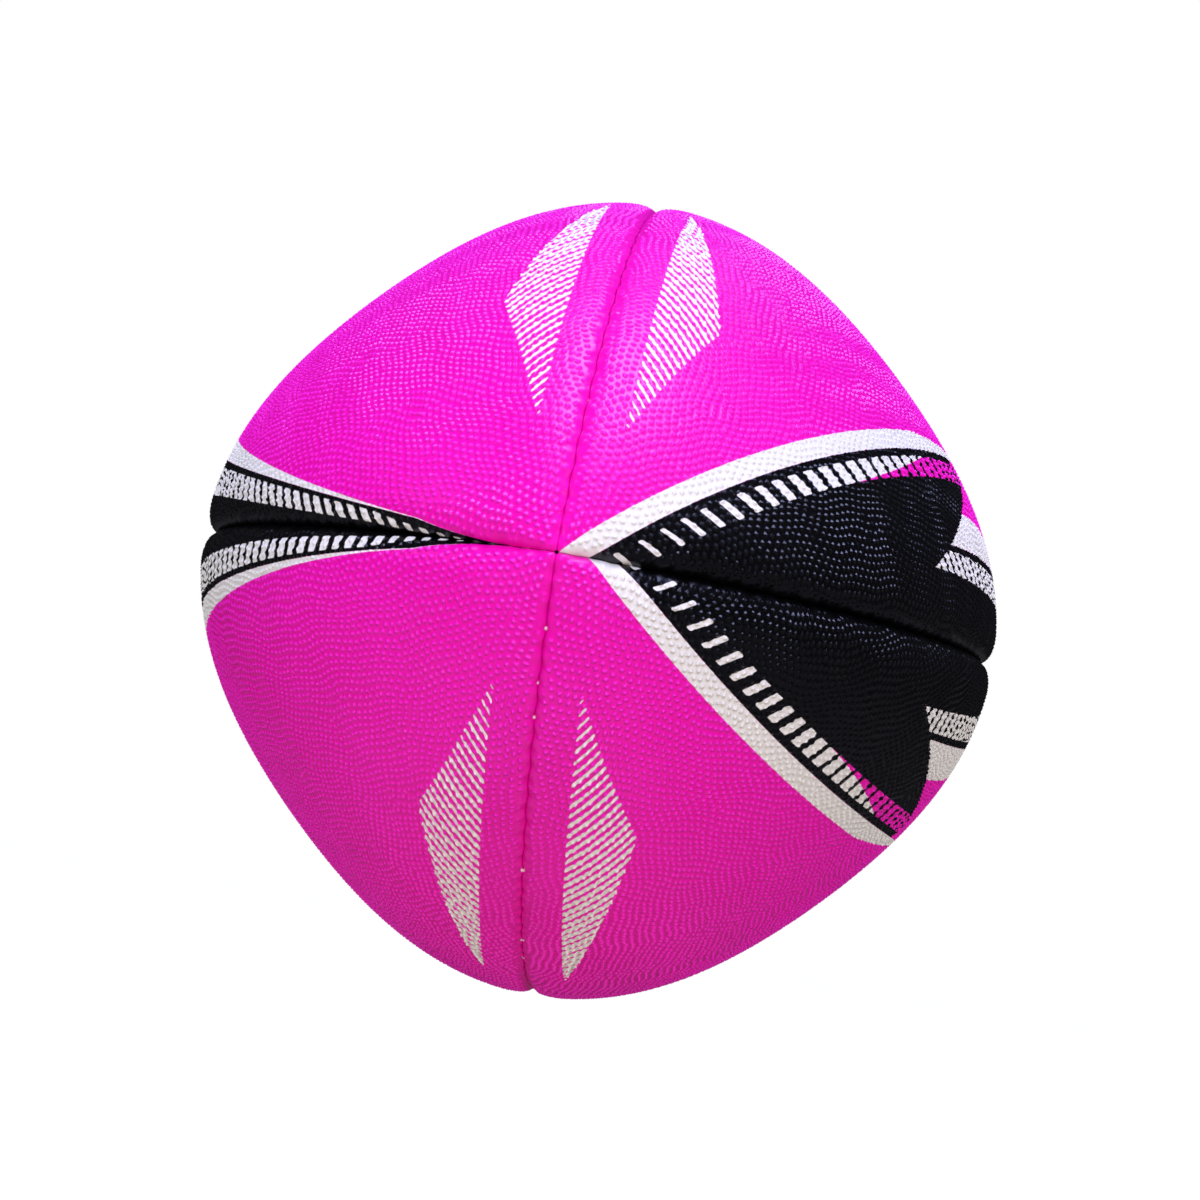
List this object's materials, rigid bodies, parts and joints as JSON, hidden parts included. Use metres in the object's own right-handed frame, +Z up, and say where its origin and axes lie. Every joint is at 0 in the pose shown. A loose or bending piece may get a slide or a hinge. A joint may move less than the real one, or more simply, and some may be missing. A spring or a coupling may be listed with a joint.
{
  "type": "rugby league ball",
  "caption": "Oval sewn ball with pimpled rubber cover panels on fabric plies round an inflated bladder with a needle valve, for passing, carrying and kicking.",
  "frame": {"origin": "middle of the ball, on its long axis", "axes": "+Y along the long axis, away from the tip that faces the viewer; +Z up through one seam; +X through the next seam, to the viewer's right"},
  "size_m": [0.1958, 0.2794, 0.1958],
  "materials": {
    "cover_rubber": "pimpled, satin, printed in black and white on pink",
    "cotton_cloth": "plain woven, coated with adhesive",
    "polyester_cloth": "plain woven, coated with adhesive",
    "waxed_thread": "twisted and waxed",
    "bladder_latex": "dipped, smooth",
    "valve_rubber": "moulded, matt",
    "core_rubber": "moulded, soft"
  },
  "bodies": {
    "root": {"cover_panel_upper_right": "cover_rubber", "cover_panel_upper_left": "cover_rubber", "cover_panel_lower_left": "cover_rubber", "cover_panel_lower_right": "cover_rubber", "cotton_ply_upper_right": "cotton_cloth", "cotton_ply_upper_left": "cotton_cloth", "cotton_ply_lower_left": "cotton_cloth", "cotton_ply_lower_right": "cotton_cloth", "polyester_ply_upper_right": "polyester_cloth", "polyester_ply_upper_left": "polyester_cloth", "polyester_ply_lower_left": "polyester_cloth", "polyester_ply_lower_right": "polyester_cloth", "seam_thread_right": "waxed_thread", "seam_thread_top": "waxed_thread", "seam_thread_left": "waxed_thread", "seam_thread_bottom": "waxed_thread", "bladder": "bladder_latex", "valve_housing": "valve_rubber", "valve_core": "core_rubber"}
  },
  "joints": []
}
